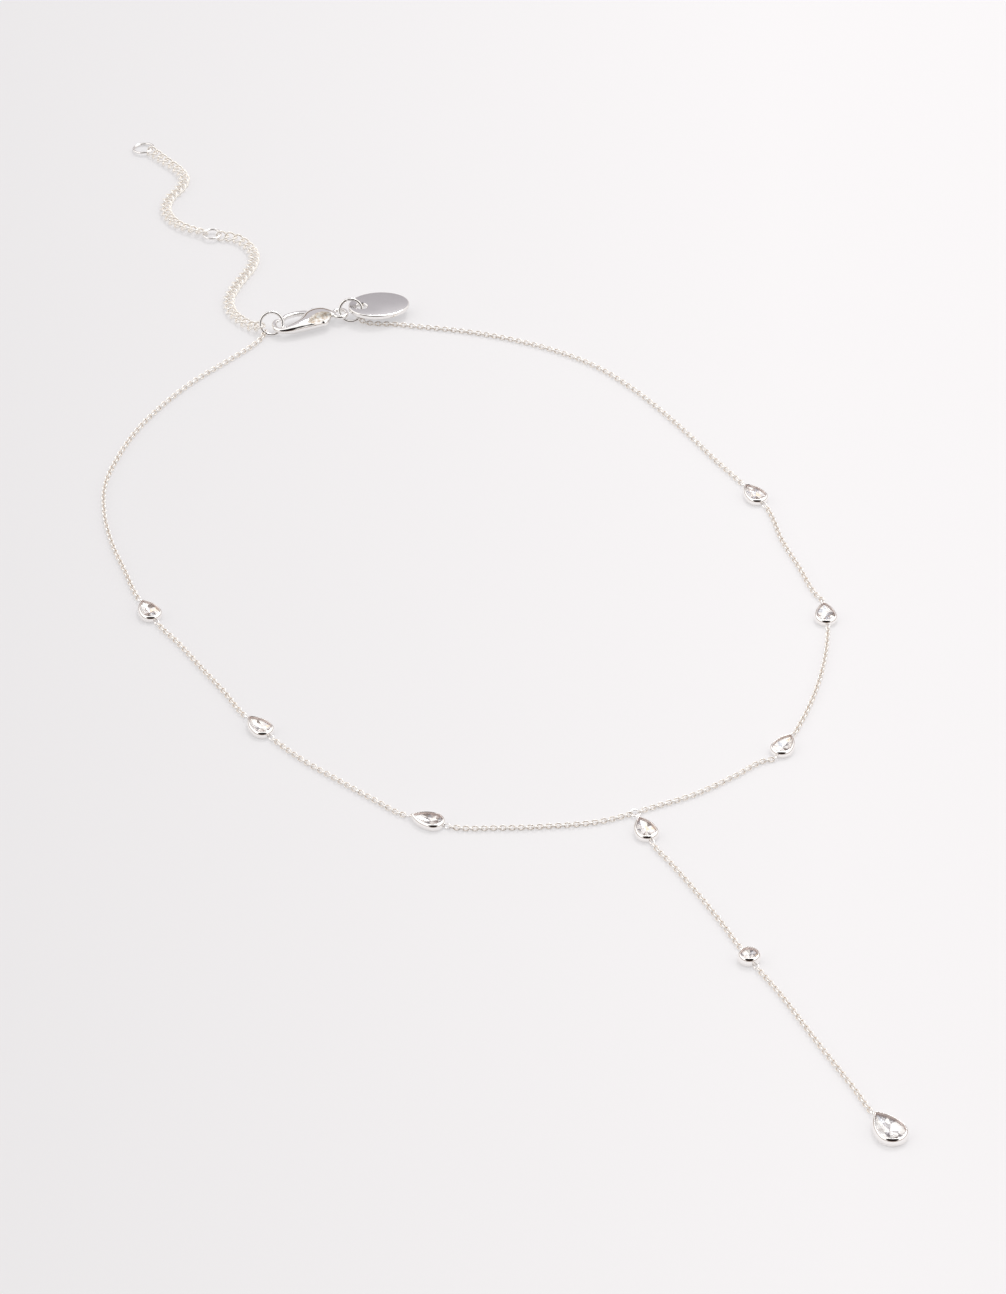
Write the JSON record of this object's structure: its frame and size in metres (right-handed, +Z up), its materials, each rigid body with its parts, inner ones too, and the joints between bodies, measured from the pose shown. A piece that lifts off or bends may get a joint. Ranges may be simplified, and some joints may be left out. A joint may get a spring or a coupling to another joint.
{
  "type": "y necklace",
  "caption": "Fine link chain loop with small pear stones, a straight drop with a round and a large pear stone, a lobster clasp, an oval tag and a curb extender chain, lying flat.",
  "frame": {"origin": "middle of the laid-out necklace on the surface that it lies on", "axes": "+Z up from the surface, +Y from the drop's end towards the clasp and the extender, +X to the clasp's tag side"},
  "size_m": [0.1028, 0.2848, 0.0035],
  "materials": {
    "setting_silver": "polished silver plate",
    "chain_silver": "polished silver plate",
    "ring_silver": "polished silver plate",
    "extender_silver": "polished silver plate, slightly warm",
    "clasp_silver": "polished silver plate",
    "tag_silver": "satin face, polished edge",
    "stone": "clear cut stone"
  },
  "bodies": {
    "necklace": {"setting_right_back": "setting_silver", "setting_right_side": "setting_silver", "setting_right_front": "setting_silver", "setting_left_front": "setting_silver", "setting_left_side": "setting_silver", "setting_left_back": "setting_silver", "setting_junction": "setting_silver", "setting_drop_round": "setting_silver", "setting_drop_pear": "setting_silver", "stone_right_back": "stone", "stone_right_side": "stone", "stone_right_front": "stone", "stone_left_front": "stone", "stone_left_side": "stone", "stone_left_back": "stone", "stone_junction": "stone", "stone_drop_round": "stone", "stone_drop_pear": "stone", "chain_right_back": "chain_silver", "chain_right_side": "chain_silver", "chain_right_mid": "chain_silver", "chain_front_right": "chain_silver", "chain_front_left": "chain_silver", "chain_left_mid": "chain_silver", "chain_left_side": "chain_silver", "chain_left_back": "chain_silver", "chain_drop_upper": "chain_silver", "chain_drop_lower": "chain_silver", "junction_ring": "ring_silver", "clasp_ring": "ring_silver", "hook_ring": "ring_silver", "clasp_body": "clasp_silver", "tag": "tag_silver", "extender_lower": "extender_silver", "extender_ring": "ring_silver", "extender_upper": "extender_silver", "end_ring": "ring_silver"},
    "lever": {"clasp_lever": "clasp_silver"}
  },
  "joints": [
    {"name": "lever_hinge", "type": "hinge", "parent": "necklace", "child": "lever", "pos_m": [0.00596, 0.08002, 0.0013], "axis": [0, 0, 1], "range_deg": [0, 16], "stiffness_Nm_per_rad": 0.004}
  ]
}
